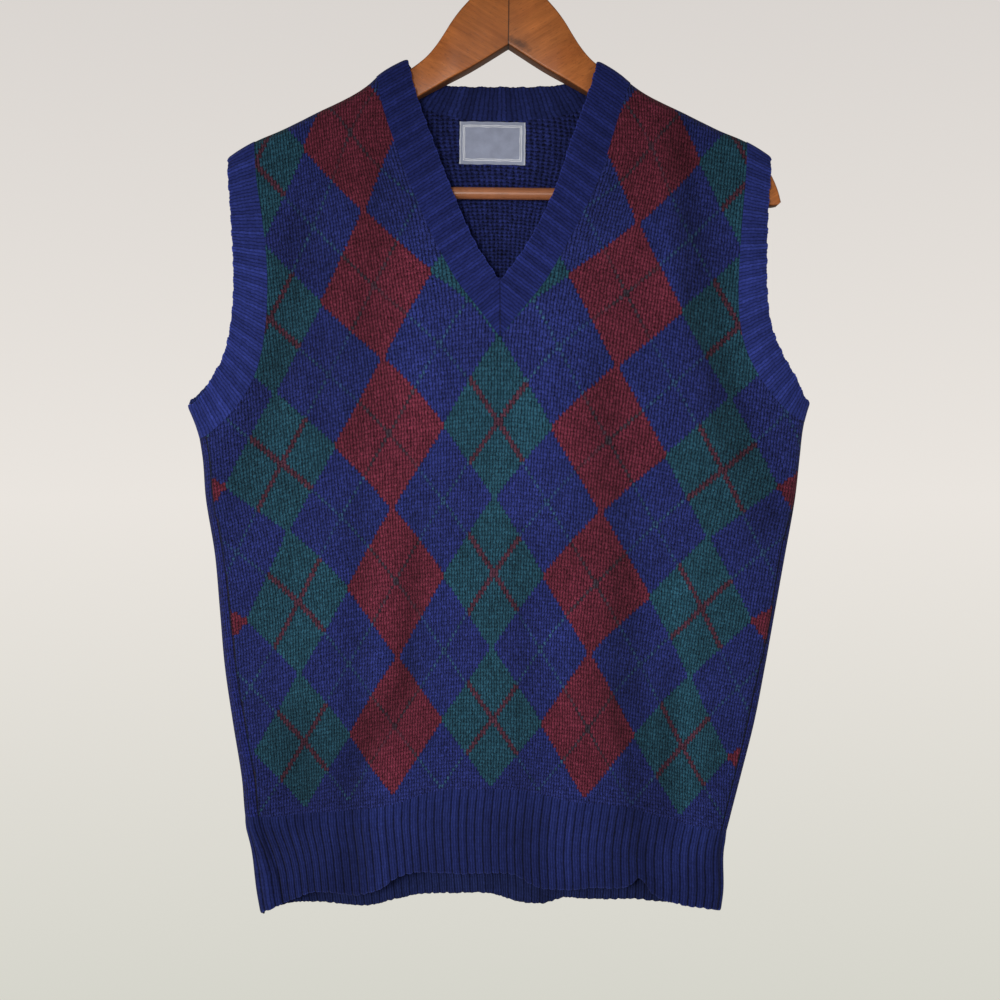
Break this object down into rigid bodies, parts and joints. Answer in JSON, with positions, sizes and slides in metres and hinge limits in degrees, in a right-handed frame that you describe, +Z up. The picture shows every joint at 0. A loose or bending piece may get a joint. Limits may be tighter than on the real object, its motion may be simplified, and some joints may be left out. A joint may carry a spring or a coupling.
{
  "type": "knitted sweater vest on a wooden hanger",
  "caption": "V-neck knitted sweater vest with a diamond pattern on the front and ribbed bands, hanging flat on a wooden hanger with a steel hook.",
  "frame": {"origin": "inside top of the hook's bend, where the rail carries the hanger", "axes": "+Z up, +X to the wearer's left, the front of the vest faces -Y"},
  "size_m": [0.5086, 0.0343, 0.8325],
  "materials": {
    "front_knit": "soft stockinette knit, navy ground with maroon and green diamonds",
    "back_knit": "soft plain navy stockinette knit",
    "hem_rib": "navy two by one rib knit",
    "band_rib": "navy rib knit",
    "woven_label": "woven grey-blue label with a plain border",
    "varnished_wood": "orange-brown satin varnish",
    "hook_steel": "bright plated wire"
  },
  "bodies": {
    "root": {"front_panel": "front_knit", "back_panel": "back_knit", "front_hem_rib": "hem_rib", "back_hem_rib": "hem_rib", "neckband": "band_rib", "armband_left": "band_rib", "armband_right": "band_rib", "neck_label": "woven_label", "hanger_arm_left": "varnished_wood", "hanger_arm_right": "varnished_wood", "hanger_bar": "varnished_wood", "hanger_hook": "hook_steel"}
  },
  "joints": []
}
